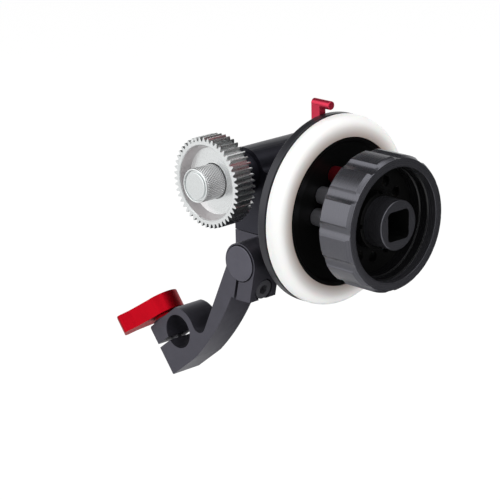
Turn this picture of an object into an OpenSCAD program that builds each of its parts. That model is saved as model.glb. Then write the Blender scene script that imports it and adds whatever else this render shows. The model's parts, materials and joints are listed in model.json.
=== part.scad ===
// Follow focus unit for a 15 mm rod.
// Origin: centre of the rod clamp bore. +X: handwheel axis, towards the operator.
// Y: along the rod. +Z: up.

/* [Rod clamp] */
// Diameter of the rod that the clamp holds
rod_d = 15; // [12:0.5:19]
// Wall of the clamp ring around the rod
ring_wall = 3.3; // [3:0.1:5]
// Tilt of the clamp split from the horizontal, in degrees
clamp_tilt = 37.7; // [30:0.1:45]
// Length of the jaws from the rod's axis to their end
jaw_len = 15.9; // [15.5:0.1:20]
// Height of the flat on the upper jaw over the rod's axis
jaw_flat = 9.3; // [8.8:0.1:10.5]
// Depth of the foot under the rod's axis
foot_depth = 14.1; // [12:0.1:17]
// Width of the split between the jaws
clamp_slit = 1.6; // [1:0.1:2.5]
// Thread diameter of the clamp screw
clamp_screw_d = 5; // [4:0.5:5]

/* [Clamp lever] */
// Thickness of the lever
lever_t = 8; // [6:0.5:10]
// Diameter of the lever's round end
lever_hub_d = 18.4; // [14:0.2:22]
// Distance from the screw to the lever's tip
lever_len = 20; // [18:0.5:30]
// Width of the lever's tip
lever_tip_w = 8.5; // [6:0.5:12]
// Direction of the lever seen along its screw, in degrees
lever_angle = 234; // [180:1:260]

/* [Swing arm] */
// Thickness of the arm along the rod
arm_t = 15; // [12:0.5:20]
// Pivot's distance from the rod, sideways
pivot_x = 40; // [37:0.5:46]
// Pivot's height over the rod
pivot_z = 39.5; // [37:0.5:46]
// Diameter of the collar around the pivot
collar_d = 17.4; // [16:0.2:20]
// Diameter of the pivot bolt's shank
pivot_d = 10; // [8:0.5:11]
// Diameter of the pivot bolt's thread in the bracket
pivot_thread_d = 6; // [5:0.5:6]
// Diameter of the pivot bolt's head
pivot_head_d = 15.6; // [14:0.1:15.6]
// Thickness of the pivot bolt's head
pivot_head_t = 2.6; // [2:0.1:4]
// Height of the pivot bolt's head over the arm
pivot_proud = 0.6; // [0.2:0.1:1.5]
// Width of the split below the pivot
collar_slit = 1.4; // [0.8:0.1:2]
// Distance from the pivot down to the friction screw
lug_screw_drop = 10.3; // [9.8:0.1:11]

/* [Drive gear] */
// Module of the drive gear's teeth
gear_module = 0.8; // [0.5:0.1:1]
// Number of teeth on the drive gear
gear_teeth = 47; // [40:1:60]
// Face width of the drive gear
gear_w = 10.2; // [8:0.1:13]
// Drive gear axis, sideways from the rod
gear_x = 17.5; // [16:0.5:20]
// Height of the drive gear axis over the rod
gear_z = 69.5; // [68:0.5:74]
// Diameter of the recess in the gear's front
gear_recess_d = 32; // [24:0.5:32]
// Depth of that recess
gear_recess = 4.8; // [2:0.1:6]
// Diameter of the thumb screw
thumb_d = 14.8; // [12:0.2:17]
// Length of the thumb screw's knurled head
thumb_len = 13.6; // [10:0.2:16]

/* [Gearbox] */
// Wall of the housing
wall = 3; // [2.5:0.1:3.5]
// Front of the gearbox block, along the rod from the clamp's middle
box_front = 18; // [18:0.1:20]
// Depth of the housing along the rod
box_depth = 30; // [30:0.5:36]
// Left side of the gearbox block, from the rod's axis
box_left = 10.7; // [9.5:0.1:11]
// Width of the gearbox block
box_w = 35.5; // [35.5:0.1:36]
// Bottom of the gearbox block over the rod's axis
box_bottom = 43.2; // [42.5:0.1:44]
// Height of the gearbox block
box_h = 28.3; // [28:0.1:30]
// Diameter of the barrel around the drive shaft
barrel_d = 22; // [21.6:0.1:25]
// Radius of the fillet between the barrel and the block
barrel_fillet = 4; // [2:0.1:4.5]
// Thickness of the rear cover
cover_t = 3; // [2.5:0.5:5]
// Diameter of the drive shaft and of the handwheel shaft
shaft_d = 8; // [6:0.5:8]
// Diameter of the lay shaft between them
lay_d = 6; // [5:0.5:6]
// Outside diameter of the shaft bushes
bush_d = 12; // [11:0.5:13]

/* [Internal gears] */
// Module of the spur gear pair
spur_module = 0.8; // [0.8:0.1:0.9]
// Teeth on each spur gear
spur_teeth = 21; // [20:1:21]
// Face width of the spur gears
spur_w = 5; // [4:0.5:6]
// Module of the bevel gear pair
bevel_module = 1; // [1:0.05:1.1]
// Teeth on each bevel gear
bevel_teeth = 15; // [14:1:15]

/* [Index plate and marking disc] */
// Diameter of the index plate and of the marking disc
disc_d = 81; // [78:0.4:90]
// Thickness of the index plate
plate_t = 3.8; // [3:0.1:5]
// Back of the index plate, from the rod's axis
plate_x = 55.7; // [55.5:0.1:58]
// Thickness of the marking disc
disc_t = 6.5; // [5:0.5:8]
// Diameter of the hole in the marking disc
disc_bore_d = 63.2; // [58:0.2:64]
// Radius of the marking disc's rounded front edge
disc_round = 5; // [2:0.5:5]

/* [Handwheel] */
// Diameter of the handwheel over its lands
wheel_d = 57.5; // [55:0.5:64]
// Length of the handwheel along its axis
wheel_len = 17; // [14:0.5:22]
// Inside diameter of the handwheel's rim
wheel_bore_d = 48.2; // [46:0.2:48.6]
// Number of flutes around the handwheel
flutes = 12; // [8:1:16]
// Radius of each flute's cutter
flute_r = 4.3; // [3:0.1:6]
// Depth of each flute
flute_depth = 1.3; // [0.8:0.1:1.6]
// Gap between the dish and the handwheel
wheel_gap = 14; // [10:0.5:18]
// Diameter of the square drive sleeve
sleeve_d = 21; // [19:0.2:21.6]
// Side of the square drive socket
socket_w = 12.5; // [10:0.1:12.7]
// Depth of the square drive socket
socket_depth = 13; // [8:0.5:13]
// Diameter of the handwheel's clamping nut and the hub behind it
nut_d = 24.4; // [23.4:0.2:26]

/* [Hidden] */
$fn = 72;
// Overlap given to cutting shapes
e = 0.5;
// Radial clearance of a shaft that turns in its hole
run = 0.05;
// Radial clearance between pieces that stay together
seat = 0.02;
// Gap between flat faces that slide on each other
face = 0.1;

// Colours of the finishes
c_black = "#202022";
c_grey = "#5b5a62";
c_silver = "#d8d9d8";
c_white = "#f4f3f0";
c_red = "#c8183a";
c_steel = "#8d8f92";
c_bronze = "#a8824f";

// Rod clamp and arm
rod_r = rod_d / 2;
ring_r = rod_r + ring_wall;
clamp_screw_w = (rod_r + jaw_len) / 2;
jaw_screw_r = clamp_screw_d / 2 + 0.25;
washer_t = 1;
lever_base = jaw_flat + washer_t + 1.2;
screw_head_h = 4.5;
head_y = -arm_t / 2 - pivot_proud;
pivot_sunk = pivot_head_t - pivot_proud + face;
collar_r = collar_d / 2;
lug_t = collar_r;
split_dir = -102.4;
lug_drop_end = 16.6;
outer_sag = 1.7;
fillet_r = 4;
arm_left_run = [9.5, 20.5];
arm_left_inset = 6.4;

// Gearbox
box_back = box_front + box_depth;
box_right = box_left + box_w;
box_top = box_bottom + box_h;
barrel_r = barrel_d / 2;
boss_r = 9;
shaft_r = shaft_d / 2;
lay_r = lay_d / 2;
bush_r = bush_d / 2;
lay_bush_r = bush_r - 1;
bush_len = 5;
wheel_y = box_front + 10.5;
wheel_z = gear_z - 10.2;
spur_gap = spur_module * spur_teeth;
lay_x = gear_x + sqrt(spur_gap * spur_gap - pow(gear_z - wheel_z, 2));
bevel_r = bevel_module * bevel_teeth / 2;
bevel_face = 2.4;
bevel_hub = 3.6;
spur_y = wheel_y + bevel_r + bevel_hub + 1.2;
spur_tip_r = spur_module * (spur_teeth + 2) / 2;
gear_front = 2.5 - arm_t / 2;
gear_back = gear_front + gear_w;
gear_tip_r = gear_module * (gear_teeth + 2) / 2;
boss_front = gear_back + 1;
recess_floor = gear_front + gear_recess;
thumb_front = recess_floor - 10.9;
thumb_back = thumb_front + thumb_len;
bracket_gap = 0.3;
bracket_top = box_bottom - bracket_gap;
bracket_len = 24;
knuckle_y = arm_t / 2 + 1;
cover_screw_d = 2;
cover_boss = 1.5;
rear_bush_len = cover_boss + cover_t - 1;

// Handwheel side
plate_front = plate_x + plate_t;
disc_back = plate_front + 0.4;
disc_front = disc_back + disc_t;
rim_t = 1.5;
rim_w = 3.8;
dish_floor = disc_back + 4.3;
flange_r = disc_bore_d / 2 - 0.1;
dish_lip = 1.4;
hub_r = sleeve_d / 2 + 0.7;
web_back = dish_floor + wheel_gap;
web_t = 3.5;
wheel_front = web_back + wheel_len;
sleeve_r = sleeve_d / 2;
sleeve_front = wheel_front + 1;
socket_floor = sleeve_front - socket_depth;
nut_t = 4.7;
neck_r = 12;
neck_x = plate_front - 1.9;
ring_t = 1.6;
bevel_x = lay_x + bevel_r;
inner_bush_x = bevel_x + 6;
inner_bush_len = min(bush_len, neck_x - bush_len - inner_bush_x);
post_r = 3.7;
post_h = 8;
post_circle = 15.2;
release_circle = 17.2;
stop_angles = [142, 177];
release_angle = 105;
pin_r = 1.85;
pointer_w = 3.6;
pointer_t = 4.8;
pointer_y = wheel_y - 2;
pointer_z = wheel_z + disc_d / 2 + 4.2;
pointer_drop = 14;
pointer_screw_z = pointer_z - 10.5;

// ---------- placing ----------

// Clamp frame: x across the jaws, y along the rod, z along the clamp screw
module in_clamp() {
  rotate([0, -clamp_tilt, 0]) children();
}

// Local z along +Y, from the given y, about the axis through x and z
module along_y(x, y, z) {
  translate([x, y, z]) rotate([-90, 0, 0]) children();
}

// Local z along +X from the given x, about the handwheel's axis
module on_wheel(x) {
  translate([x, wheel_y, wheel_z]) rotate([0, 90, 0]) children();
}

// A place on the handwheel, at an angle from +Y towards +Z
module at_angle(r, a) {
  rotate([0, 0, a + 90]) translate([r, 0, 0]) children();
}

// Plate in the XZ plane, extruded from y0 to y1
module xz_plate(y0, y1) {
  translate([0, y1, 0]) rotate([90, 0, 0]) linear_extrude(height = y1 - y0) children();
}

// Point at distance w across and s up in the clamp frame, as [x, z]
function clamp_pt(w, s) = [w * cos(clamp_tilt) - s * sin(clamp_tilt),
                           w * sin(clamp_tilt) + s * cos(clamp_tilt)];

// Points along an arc from a to b that bulges to its right by sag
function arc_points(a, b, sag, n) =
  let (d = b - a, c = norm(d), r = c * c / 8 / sag + sag / 2,
       m = (a + b) / 2, u = d / c, q = [-u[1], u[0]],
       o = m + q * (r - sag), half = asin(c / 2 / r), mid = atan2(-q[1], -q[0]))
  [for (i = [0:n]) o + r * [cos(mid - half + 2 * half * i / n), sin(mid - half + 2 * half * i / n)]];

// ---------- fasteners ----------

// Socket head screw: head upwards from z = 0, shank downwards
module socket_screw(d, len, head_r, head_h, hex) {
  difference() {
    union() {
      cylinder(r = head_r, h = head_h);
      translate([0, 0, -len]) cylinder(d = d, h = len + e);
    }
    translate([0, 0, head_h * 0.4]) cylinder(d = hex / cos(30), h = head_h, $fn = 6);
  }
}

// Flush screw: head below z = 0
module flush_screw(d, len, head_r, head_h) {
  difference() {
    union() {
      translate([0, 0, -head_h]) cylinder(r = head_r, h = head_h);
      translate([0, 0, -len]) cylinder(d = d, h = len - head_h / 2);
    }
    translate([0, 0, -head_h * 0.6]) cylinder(d = head_r, h = head_h, $fn = 6);
  }
}

// Plain bush along local z
module bush(ro, ri, len) {
  difference() {
    cylinder(r = ro, h = len);
    translate([0, 0, -e]) cylinder(r = ri, h = len + 2 * e);
  }
}

// ---------- gears ----------

function involute_angle(a) = tan(a) * 180 / PI - a;

// Outline of an involute gear with a pressure angle of 20 degrees
function gear_outline(m, n, slack, add, ded) =
  let (rp = m * n / 2, rb = rp * cos(20), ra = rp + add * m, rr = rp - ded * m,
       r0 = max(rb + 0.01, rr), half = 90 / n - slack / 2 / rp * 180 / PI,
       steps = 4)
  [for (t = [0:n - 1], k = [0:2 * steps + 3])
    let (up = k <= steps + 1,
         j = up ? k - 1 : 2 * steps + 2 - k,
         r = j < 0 ? rr : r0 + (ra - r0) * j / steps,
         a = half + involute_angle(20) - involute_angle(acos(rb / max(r, r0))),
         c = t * 360 / n + (up ? -a : a))
    r * [cos(c), sin(c)]];

module spur_gear(turn) {
  rotate([0, 0, turn]) difference() {
    linear_extrude(height = spur_w) polygon(gear_outline(spur_module, spur_teeth, 0.2, 1, 1.25));
    translate([0, 0, -e]) children();
  }
}

// Bevel gear: heel at z = 0, teeth towards an apex at z = bevel_r, hub below
module bevel_gear(turn, bore_r) {
  difference() {
    union() {
      rotate([0, 0, turn])
        linear_extrude(height = bevel_face, scale = (bevel_r - bevel_face) / bevel_r)
          polygon(gear_outline(bevel_module, bevel_teeth, 0.5, 0.7, 1.15));
      translate([0, 0, -bevel_hub]) cylinder(r = bevel_r - 1.6, h = bevel_hub + 0.4);
    }
    translate([0, 0, -bevel_hub - e]) cylinder(r = bore_r, h = bevel_hub + bevel_face + 2 * e);
  }
}

// ---------- rod clamp and swing arm ----------

pivot = [pivot_x, pivot_z];
split_u = [cos(split_dir), sin(split_dir)];
split_n = [-split_u[1], split_u[0]];
arm_left_u = -arm_left_run / norm(arm_left_run);
arm_left_n = [arm_left_u[1], -arm_left_u[0]];
arm_left_0 = pivot + arm_left_n * arm_left_inset;
// Centre of the fillet between the ring and the arm's left edge
fillet_base = arm_left_0 + arm_left_n * fillet_r;
fillet_b = fillet_base * arm_left_u;
fillet_c = fillet_base * fillet_base - pow(ring_r + fillet_r, 2);
fillet_o = fillet_base + arm_left_u * (-fillet_b - sqrt(fillet_b * fillet_b - fillet_c));
fillet_ring = fillet_o * ring_r / (ring_r + fillet_r);
fillet_arm = fillet_o - arm_left_n * fillet_r;
foot_tip = clamp_pt(-jaw_len, -foot_depth);
foot_bend = clamp_pt(2.6, -foot_depth);
lug_low = pivot + split_u * lug_drop_end;
arm_low = lug_low - split_n * 2.1;
lug_corner = lug_low + split_n * lug_t - split_u * lug_t * tan(-90 - split_dir);

module arm_outline() {
  difference() {
    union() {
      intersection() {
        circle(r = ring_r);
        rotate([0, 0, clamp_tilt]) translate([-2 * ring_r, -2 * ring_r]) square([4 * ring_r, 2 * ring_r + jaw_flat]);
      }
      rotate([0, 0, clamp_tilt]) translate([-jaw_len, 0]) square([jaw_len + 1, jaw_flat]);
      rotate([0, 0, clamp_tilt]) translate([-jaw_len, -foot_depth]) square([jaw_len + 2.6, foot_depth]);
      polygon(concat([[0, 0], foot_tip], arc_points(foot_bend, arm_low, outer_sag, 24),
                     [lug_low, pivot, arm_left_0 + arm_left_u * 2, fillet_arm, fillet_o, fillet_ring]));
      polygon([pivot, lug_low, lug_corner, pivot + split_n * lug_t]);
      translate(pivot) circle(r = collar_r);
    }
    translate(fillet_o) circle(r = fillet_r);
  }
}

module swing_arm() color(c_grey) {
  difference() {
    xz_plate(-arm_t / 2, arm_t / 2) arm_outline();
    // rod bore, split and clamp screw holes
    along_y(0, -arm_t / 2 - e, 0) cylinder(r = rod_r, h = arm_t + 2 * e);
    in_clamp() {
      translate([-jaw_len - e, -arm_t / 2 - e, -clamp_slit / 2])
        cube([jaw_len - rod_r / 2 + e, arm_t + 2 * e, clamp_slit]);
      translate([-clamp_screw_w, 0, 0]) cylinder(r = jaw_screw_r, h = jaw_flat + e);
      // blind thread, 2 mm short of the foot
      translate([-clamp_screw_w, 0, -foot_depth + 2])
        cylinder(r = clamp_screw_d / 2 + seat, h = foot_depth - 2);
    }
    // pivot bore and split collar
    along_y(pivot_x, -arm_t / 2 - e, pivot_z) cylinder(r = pivot_d / 2 + run, h = arm_t + 2 * e);
    along_y(pivot_x, -arm_t / 2 - e, pivot_z) cylinder(r = pivot_head_d / 2 + 0.3, h = pivot_sunk + e);
    translate([pivot_x, 0, pivot_z]) rotate([0, -split_dir, 0]) {
      translate([0, -arm_t / 2 - e, -collar_slit / 2]) cube([lug_drop_end + 2, arm_t + 2 * e, collar_slit]);
      translate([lug_screw_drop, 0, 0]) {
        translate([0, 0, -8]) cylinder(r = 2.5 + seat, h = 8 + lug_t);
        translate([0, 0, lug_t - 5.2]) cylinder(r = 4.85, h = 8);
      }
    }
  }
}

module friction_screw() color(c_steel) {
  translate([pivot_x, 0, pivot_z]) rotate([0, -split_dir, 0])
    translate([lug_screw_drop, 0, lug_t - 5.2]) socket_screw(5, lug_t + 1.5, 4.25, 4.9, 4);
}

module clamp_screw() color(c_steel) in_clamp()
  translate([-clamp_screw_w, 0, lever_base + lever_t - screw_head_h])
    socket_screw(clamp_screw_d, lever_base + lever_t - screw_head_h + foot_depth - 3, 4.2, screw_head_h - 0.5, 4);

module clamp_washer() color(c_black) in_clamp()
  translate([-clamp_screw_w, 0, jaw_flat]) bush(6.4, jaw_screw_r, washer_t);

module lever_outline() {
  tip_x = lever_len - 1.5;
  difference() {
    union() {
      circle(d = lever_hub_d);
      polygon([[0, -lever_hub_d / 2 + 0.4], [tip_x, -lever_tip_w / 2], [lever_len, -lever_tip_w / 2 + 1.5],
               [lever_len, lever_tip_w / 2 - 1.5], [tip_x, lever_tip_w / 2], [0, lever_hub_d / 2 - 0.4]]);
    }
    for (s = [-1, 1])
      translate([lever_len * 0.62, s * (36 + lever_tip_w / 2 + 0.6)]) circle(r = 36, $fn = 180);
  }
}

module clamp_lever() color(c_red) in_clamp() translate([-clamp_screw_w, 0, 0]) {
  difference() {
    union() {
      translate([0, 0, lever_base]) rotate([0, 0, lever_angle]) linear_extrude(height = lever_t) lever_outline();
      translate([0, 0, jaw_flat + washer_t + face]) cylinder(r = 5, h = lever_base - jaw_flat - washer_t);
    }
    cylinder(r = clamp_screw_d / 2 + seat, h = 3 * lever_base);
    translate([0, 0, lever_base + lever_t - screw_head_h]) cylinder(r = 4.2 + 0.3, h = 2 * screw_head_h);
  }
}

// ---------- pivot ----------

module pivot_bolt() color(c_grey) {
  along_y(pivot_x, head_y, pivot_z) {
    cylinder(d = pivot_head_d, h = pivot_head_t);
    cylinder(d = pivot_d, h = knuckle_y - head_y);
    cylinder(d = pivot_thread_d, h = box_front - head_y + bracket_len - 4);
  }
}

module pivot_washer() color(c_black)
  along_y(pivot_x, arm_t / 2 + face, pivot_z) bush(collar_r, pivot_d / 2 + run, knuckle_y - arm_t / 2 - face);

module bracket_places() {
  for (x = [4, 15.5], y = [5, bracket_len - 5])
    translate([box_left + x, box_front + y, 0]) children();
}

module pivot_bracket() color(c_grey) {
  difference() {
    union() {
      xz_plate(box_front, box_front + bracket_len)
        polygon([[box_left, bracket_top], [box_left, bracket_top - 7],
                 pivot - collar_r * [0.4, 0.917], pivot - collar_r * [-0.4, 0.917],
                 [box_right, pivot_z - 2], [box_right, bracket_top]]);
      along_y(pivot_x, knuckle_y, pivot_z) cylinder(r = collar_r, h = box_front + bracket_len - knuckle_y);
    }
    translate([box_left, box_front - 0.1, bracket_top]) cube([2 * box_w, box_depth, 2 * collar_r]);
    along_y(pivot_x, knuckle_y - e, pivot_z)
      cylinder(r = pivot_thread_d / 2 + seat, h = box_front + bracket_len - 4 + e - knuckle_y);
    bracket_places() {
      translate([0, 0, bracket_top - 14]) cylinder(r = 3, h = 10.4);
      translate([0, 0, bracket_top - 12]) cylinder(r = 1.5 + seat, h = 20);
    }
  }
}

module bracket_screws() color(c_steel) bracket_places()
  translate([0, 0, bracket_top - 3.6]) rotate([180, 0, 0]) socket_screw(3, 6.4, 2.75, 3, 2.5);

// ---------- gearbox ----------

module box_outline() {
  corner = 4;
  reach = barrel_r + barrel_fillet;
  rise = box_top + barrel_fillet - gear_z;
  run_x = sqrt(reach * reach - rise * rise);
  translate([box_left, box_bottom]) square([box_w, box_h - corner]);
  translate([box_left, box_bottom]) square([box_w - corner, box_h]);
  translate([box_right - corner, box_top - corner]) circle(r = corner);
  translate([gear_x, gear_z]) circle(r = barrel_r);
  // concave fillet from the barrel down to the block's top
  difference() {
    polygon([[gear_x, gear_z], [gear_x + run_x * barrel_r / reach, gear_z + rise * barrel_r / reach],
             [gear_x + run_x, box_top + barrel_fillet], [gear_x + run_x, box_top - 1]]);
    translate([gear_x + run_x, box_top + barrel_fillet]) circle(r = barrel_fillet);
  }
}

module cover_places() {
  for (p = [[box_left + 1.6, box_bottom + 3], [box_left + 1.6, box_bottom + 10],
            [box_right - 1.6, box_bottom + 3], [box_right - 1.6, box_top - 6], [gear_x + 21, box_top - 1.6]])
    translate([p[0], 0, p[1]]) rotate([-90, 0, 0]) children();
}

module gearbox_housing() color(c_black) {
  difference() {
    union() {
      difference() {
        union() {
          xz_plate(box_front, box_back) box_outline();
          along_y(gear_x, boss_front, gear_z) cylinder(r = boss_r, h = box_front - boss_front + e);
          on_wheel(box_right - e) cylinder(r = neck_r + 4, h = plate_x - face - box_right + e);
          on_wheel(box_right) cylinder(r = neck_r, h = neck_x - box_right);
        }
        // main cavity, open at the rear
        xz_plate(box_front + wall, box_back + e)
          translate([box_left + wall, box_bottom + 3.5]) square([box_w - wall - 3.5, box_h - 7]);
        // room for the two spur gears
        along_y(lay_x, spur_y - 1.2, wheel_z) cylinder(r = spur_tip_r + 0.5, h = box_back - spur_y + 2);
        along_y(gear_x, spur_y - 1.2, gear_z) cylinder(r = spur_tip_r + 0.3, h = box_back - spur_y + 2);
      }
      // bearing boss inside
      along_y(lay_x, box_front, wheel_z) cylinder(r = lay_bush_r + 2, h = 5);
    }
    along_y(gear_x, boss_front - e, gear_z) cylinder(r = bush_r + seat, h = bush_len + e);
    along_y(gear_x, boss_front, gear_z) cylinder(r = shaft_r + 1, h = box_back - boss_front);
    along_y(lay_x, box_front + 1, wheel_z) cylinder(r = lay_bush_r + seat, h = 5);
    on_wheel(box_right - 4) cylinder(r = bush_r + seat, h = neck_x - box_right + 4 + e);
    // room for the wheel's bevel gear
    on_wheel(bevel_x - bevel_face - 0.6) cylinder(r = bevel_r + 1.3, h = bevel_face + bevel_hub + 1.2);
    cover_places() translate([0, 0, box_back - 8]) cylinder(r = cover_screw_d / 2 + seat, h = 9);
    bracket_places() translate([0, 0, box_bottom - e]) cylinder(r = 1.5 + seat, h = 3.5);
    ring_screw_places(neck_x - 5) cylinder(r = 1 + seat, h = 5 + e);
  }
}

module rear_cover() color(c_black) {
  difference() {
    union() {
      xz_plate(box_back, box_back + cover_t) box_outline();
      along_y(gear_x, box_back - cover_boss, gear_z) cylinder(r = bush_r + 1.6, h = cover_boss + 1);
      along_y(lay_x, box_back - cover_boss, wheel_z) cylinder(r = lay_bush_r + 1.6, h = cover_boss + 1);
    }
    along_y(gear_x, box_back - cover_boss - e, gear_z) cylinder(r = bush_r + seat, h = rear_bush_len + e);
    along_y(lay_x, box_back - cover_boss - e, wheel_z) cylinder(r = lay_bush_r + seat, h = rear_bush_len + e);
    cover_places() {
      translate([0, 0, box_back - e]) cylinder(r = cover_screw_d / 2 + seat, h = cover_t + 2 * e);
      translate([0, 0, box_back + cover_t - 1.6]) cylinder(r = 1.95, h = 2);
    }
  }
}

module cover_screws() color(c_steel) cover_places()
  translate([0, 0, box_back + cover_t]) flush_screw(cover_screw_d, 9, 1.9, 1.6);

module drive_shaft_bushes() color(c_bronze) {
  along_y(gear_x, boss_front, gear_z) bush(bush_r, shaft_r + run, bush_len);
  along_y(gear_x, box_back - cover_boss, gear_z) bush(bush_r, shaft_r + run, rear_bush_len);
}

module lay_shaft_bushes() color(c_bronze) {
  along_y(lay_x, box_front + 1, wheel_z) bush(lay_bush_r, lay_r + run, 4);
  along_y(lay_x, box_back - cover_boss, wheel_z) bush(lay_bush_r, lay_r + run, rear_bush_len);
}

module wheel_shaft_bushes() color(c_bronze) {
  on_wheel(inner_bush_x) bush(bush_r, shaft_r + run, inner_bush_len - 0.4);
  on_wheel(neck_x - bush_len) bush(bush_r, shaft_r + run, bush_len);
}

// ---------- drive shaft and gear ----------

module drive_shaft() color(c_steel) {
  along_y(gear_x, thumb_back + 0.3, gear_z) difference() {
    union() {
      cylinder(r = shaft_r, h = box_back + cover_t - 1.6 - thumb_back);
      translate([0, 0, gear_back - thumb_back - 0.3]) cylinder(r = shaft_r + 1.5, h = boss_front - gear_back - face);
    }
    translate([0, 0, -e]) cylinder(r = 2 + seat, h = 9 + e);
    translate([shaft_r - 0.8, -shaft_r, -e]) cube([2, 2 * shaft_r, gear_back - thumb_back - 0.3 + e]);
  }
}

module drive_spur_gear() color(c_steel)
  along_y(gear_x, spur_y, gear_z) spur_gear(mesh_turn) cylinder(r = shaft_r + seat, h = spur_w + 2 * e);

module drive_gear() color(c_silver) {
  along_y(gear_x, gear_front, gear_z) difference() {
    linear_extrude(height = gear_w) polygon(gear_outline(gear_module, gear_teeth, 0.1, 1, 1.25));
    translate([0, 0, -e]) cylinder(d = gear_recess_d, h = gear_recess + e);
    translate([0, 0, -e]) cylinder(d = thumb_d + 0.7, h = thumb_back - gear_front + 0.3 + e);
    difference() {
      cylinder(r = shaft_r + seat, h = gear_w + e);
      translate([shaft_r - 0.8 + seat, -shaft_r, -e]) cube([2, 2 * shaft_r, gear_w + 3 * e]);
    }
  }
}

module thumb_screw() color(c_silver) {
  along_y(gear_x, thumb_front, gear_z) difference() {
    union() {
      rotate_extrude() polygon([[0, 0], [thumb_d / 2 - 0.5, 0], [thumb_d / 2, 0.5], [thumb_d / 2, thumb_len - 0.4],
                                [thumb_d / 2 - 0.4, thumb_len], [0, thumb_len]]);
      cylinder(r = 2, h = thumb_len + 8);
    }
    translate([0, 0, -e]) difference() {
      cylinder(d = thumb_d - 1.6, h = 0.8 + e);
      translate([0, 0, -e]) cylinder(d = thumb_d - 3.2, h = 3);
    }
  }
}

// ---------- lay shaft ----------

// Direction from the drive shaft to the lay shaft, as seen along local z
mesh_dir = atan2(gear_z - wheel_z, lay_x - gear_x);
// The drive spur gear has a tooth on the line of centres, the lay gear a space
mesh_turn = mesh_dir;
lay_turn = mesh_dir + 180 + 180 / spur_teeth;

module lay_shaft() color(c_steel) along_y(lay_x, box_front + 1.3, wheel_z) cylinder(r = lay_r, h = box_depth + cover_t - 1.3 - 1.3);

module lay_spur_gear() color(c_steel)
  along_y(lay_x, spur_y, wheel_z) spur_gear(lay_turn) cylinder(r = lay_r + seat, h = spur_w + 2 * e);

module lay_bevel_gear() color(c_steel)
  translate([lay_x, wheel_y + bevel_r, wheel_z]) rotate([90, 0, 0]) bevel_gear(0, lay_r + seat);

// ---------- handwheel shaft ----------

module wheel_shaft() color(c_steel) on_wheel(lay_x + lay_r + 1.2) {
  x0 = lay_x + lay_r + 1.2;
  difference() {
    union() {
      cylinder(r = shaft_r, h = web_back + web_t - x0);
      translate([0, 0, bevel_x + bevel_hub + face - x0]) cylinder(r = shaft_r + 1.2, h = inner_bush_x - bevel_x - bevel_hub - 2 * face);
    }
    translate([0, 0, web_back + web_t - x0 - 9]) cylinder(r = 2 + seat, h = 9 + e);
    translate([0, 0, dish_floor + 5 - x0]) rotate([90, 0, 0]) cylinder(r = 1.25 + seat, h = 3 * shaft_r, center = true);
  }
}

module wheel_bevel_gear() color(c_steel)
  on_wheel(bevel_x) mirror([0, 0, 1]) bevel_gear(90 - 180 / bevel_teeth, shaft_r + seat);

module hub_flange() color(c_black) on_wheel(0) {
  difference() {
    union() {
      rotate_extrude() polygon([
        [0, neck_x + face], [6, neck_x + face], [6, disc_back], [flange_r + rim_w, disc_back],
        [flange_r + rim_w, disc_back + rim_t], [flange_r, disc_back + rim_t],
        [flange_r, disc_front - 0.8], [flange_r - 0.5, disc_front - 0.3], [flange_r - dish_lip, disc_front - 0.3],
        [flange_r - dish_lip - 0.9, dish_floor + 0.6], [flange_r - 6, dish_floor], [hub_r + 0.2, dish_floor],
        [hub_r, dish_floor + 0.5], [hub_r, web_back - face], [0, web_back - face]]);
    }
    translate([0, 0, neck_x - e]) cylinder(r = shaft_r + seat, h = web_back - neck_x + 2 * e);
    translate([0, 0, dish_floor + 5]) rotate([90, 0, 0]) cylinder(r = 1.25 + seat, h = 3 * hub_r, center = true);
    disc_screw_places() translate([0, 0, disc_back - e]) cylinder(r = 1, h = rim_t + 2 * e);
    post_places() translate([0, 0, dish_floor - 2.5]) cylinder(r = 1.5 + seat, h = 5);
    at_angle(release_circle, release_angle) translate([0, 0, dish_floor - 2.5]) cylinder(r = 1.5 + seat, h = 5);
  }
}

module hub_cross_pin() color(c_steel)
  on_wheel(dish_floor + 5) rotate([90, 0, 0]) cylinder(r = 1.25, h = 2 * hub_r - 0.6, center = true);

module disc_screw_places() {
  for (a = [30:120:270]) at_angle(flange_r + rim_w / 2 + 0.4, a) children();
}

module marking_disc() color(c_white) on_wheel(0) {
  ro = disc_d / 2;
  ri = disc_bore_d / 2;
  difference() {
    rotate_extrude() polygon(concat(
      [[ri, disc_back + rim_t + 0.1], [ri + rim_w + 0.1, disc_back + rim_t + 0.1], [ri + rim_w + 0.1, disc_back],
       [ro - 0.6, disc_back], [ro, disc_back + 0.6]],
      [for (a = [0:10:90]) [ro - disc_round + disc_round * cos(a), disc_front - disc_round + disc_round * sin(a)]],
      [[ri, disc_front]]));
    disc_screw_places() translate([0, 0, disc_back]) cylinder(r = 1 + seat, h = rim_t + 3);
  }
}

module disc_screws() color(c_steel) on_wheel(0) disc_screw_places()
  translate([0, 0, disc_back + 0.1]) cylinder(r = 0.95, h = rim_t + 2.4);

module post_places() {
  for (a = stop_angles) at_angle(post_circle, a) children();
}

// Round post on a stud that sits in the dish
module post() {
  rotate_extrude() polygon([[0, -2.3], [1.5, -2.3], [1.5, 0], [post_r - 0.3, 0], [post_r, 0.3],
                            [post_r, post_h - 0.6], [post_r - 0.6, post_h], [0, post_h]]);
}

module stop_posts() color(c_silver) on_wheel(dish_floor) post_places() post();

module release_post() color(c_red) on_wheel(dish_floor)
  at_angle(release_circle, release_angle) post();

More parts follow.
